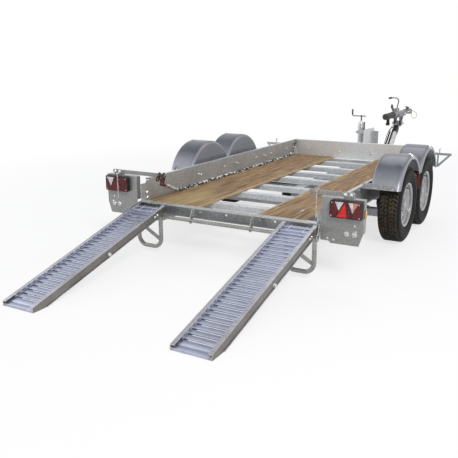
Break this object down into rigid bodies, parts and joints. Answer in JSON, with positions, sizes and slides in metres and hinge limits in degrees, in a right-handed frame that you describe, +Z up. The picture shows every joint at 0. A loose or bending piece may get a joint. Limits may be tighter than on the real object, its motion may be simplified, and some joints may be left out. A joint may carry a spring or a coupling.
{
  "type": "twin-axle plant trailer",
  "caption": "Open-frame galvanised plant trailer with plywood track strips, single mudguards, lamp boards, hook-on ribbed ramps, a crank jack and an articulated drawbar.",
  "frame": {"origin": "on the ground, midway along and across the trailer with its ramps down", "axes": "+X to the trailer's right-hand side, +Y forward to the coupling, +Z up"},
  "size_m": [2.2506, 7.1414, 1.0528],
  "materials": {
    "galvanised": "hot-dip galvanised, dull with spangle",
    "guard_steel": "smooth blue-grey sheet",
    "aluminium": "extruded, slightly worn",
    "plywood": "film-faced birch ply, brown",
    "tyre": "matt black",
    "rim_steel": "silver paint",
    "black_paint": "satin black",
    "black_plastic": "satin",
    "rubber": "matt",
    "red_lens": "gloss",
    "amber_lens": "gloss",
    "cast_grey": "grey, lightly worn",
    "chain_steel": "weathered links",
    "coated_cable": "olive sheath"
  },
  "bodies": {
    "chassis": {"rear_beam": "galvanised", "hook_bar": "galvanised", "rear_legs": "galvanised", "chassis_rails": "galvanised", "centre_beam": "galvanised", "cross_members": "galvanised", "side_boards": "galvanised", "corner_brackets": "galvanised", "front_board": "galvanised", "track_strips": "plywood", "axle_tubes": "galvanised", "axle_arms": "black_paint", "mudguards": "guard_steel", "outriggers": "galvanised", "lamp_boards": "galvanised", "lamp_bodies": "black_plastic", "lamp_lenses": "red_lens", "side_markers": "amber_lens", "ramp_bars": "galvanised", "load_chain": "chain_steel", "lamp_cables": "rubber", "jack_mount": "galvanised", "jack_tube": "galvanised"},
    "jack_inner": {"jack_leg": "galvanised"},
    "jack_wheel_body": {"jack_wheel": "rubber"},
    "jack_crank_body": {"jack_crank": "black_paint"},
    "ramp_left_body": {"ramp_left": "aluminium"},
    "ramp_right_body": {"ramp_right": "aluminium"},
    "wheel_rear_left": {"tyre_rear_left": "tyre", "rim_rear_left": "rim_steel"},
    "wheel_rear_right": {"tyre_rear_right": "tyre", "rim_rear_right": "rim_steel"},
    "wheel_front_left": {"tyre_front_left": "tyre", "rim_front_left": "rim_steel"},
    "wheel_front_right": {"tyre_front_right": "tyre", "rim_front_right": "rim_steel"},
    "arm": {"drawbar_arm": "galvanised", "arm_cables": "rubber"},
    "head": {"overrun_housing": "cast_grey", "rear_boot": "rubber", "plug": "black_plastic", "lock_lever": "black_paint"},
    "coupling": {"coupling_head": "cast_grey", "breakaway_cable": "coated_cable"},
    "brake_lever_body": {"brake_lever": "black_paint"}
  },
  "joints": [
    {"name": "wheel_rear_left_spin", "type": "hinge", "parent": "chassis", "child": "wheel_rear_left", "pos_m": [-1.014, -0.82765, 0.325], "axis": [1, 0, 0], "continuous": true},
    {"name": "wheel_rear_right_spin", "type": "hinge", "parent": "chassis", "child": "wheel_rear_right", "pos_m": [1.014, -0.82765, 0.325], "axis": [1, 0, 0], "continuous": true},
    {"name": "wheel_front_left_spin", "type": "hinge", "parent": "chassis", "child": "wheel_front_left", "pos_m": [-1.014, -0.15165, 0.325], "axis": [1, 0, 0], "continuous": true},
    {"name": "wheel_front_right_spin", "type": "hinge", "parent": "chassis", "child": "wheel_front_right", "pos_m": [1.014, -0.15165, 0.325], "axis": [1, 0, 0], "continuous": true},
    {"name": "ramp_left_hinge", "type": "hinge", "parent": "chassis", "child": "ramp_left_body", "pos_m": [-0.655, -2.14565, 0.312], "axis": [-1, 0, 0], "range_deg": [-5, 8]},
    {"name": "ramp_right_hinge", "type": "hinge", "parent": "chassis", "child": "ramp_right_body", "pos_m": [0.655, -2.14565, 0.312], "axis": [-1, 0, 0], "range_deg": [-5, 8]},
    {"name": "jack_slide", "type": "slide", "parent": "chassis", "child": "jack_inner", "axis": [0, 0, 1], "range_m": [-0.1, 0.06]},
    {"name": "jack_wheel_spin", "type": "hinge", "parent": "jack_inner", "child": "jack_wheel_body", "pos_m": [-0.122, 1.60635, 0.105], "axis": [1, 0, 0], "continuous": true},
    {"name": "jack_crank_turn", "type": "hinge", "parent": "chassis", "child": "jack_crank_body", "pos_m": [-0.122, 1.60635, 0.8], "axis": [0, 0, 1], "continuous": true},
    {"name": "arm_lower_pivot", "type": "hinge", "parent": "chassis", "child": "arm", "pos_m": [0, 2.48635, 0.292], "axis": [1, 0, 0], "range_deg": [-36, 10]},
    {"name": "arm_upper_pivot", "type": "hinge", "parent": "arm", "child": "head", "pos_m": [0, 2.93065, 0.66482], "axis": [1, 0, 0], "range_deg": [-10, 36]},
    {"name": "overrun_slide", "type": "slide", "parent": "head", "child": "coupling", "axis": [0, 1, 0], "range_m": [-0.05, 0]},
    {"name": "brake_lever_hinge", "type": "hinge", "parent": "head", "child": "brake_lever_body", "pos_m": [0, 2.82065, 0.86182], "axis": [-1, 0, 0], "range_deg": [0, 40]}
  ],
  "couplings": [
    {"joint": "arm_upper_pivot", "follows": "arm_lower_pivot", "ratio": -1}
  ]
}
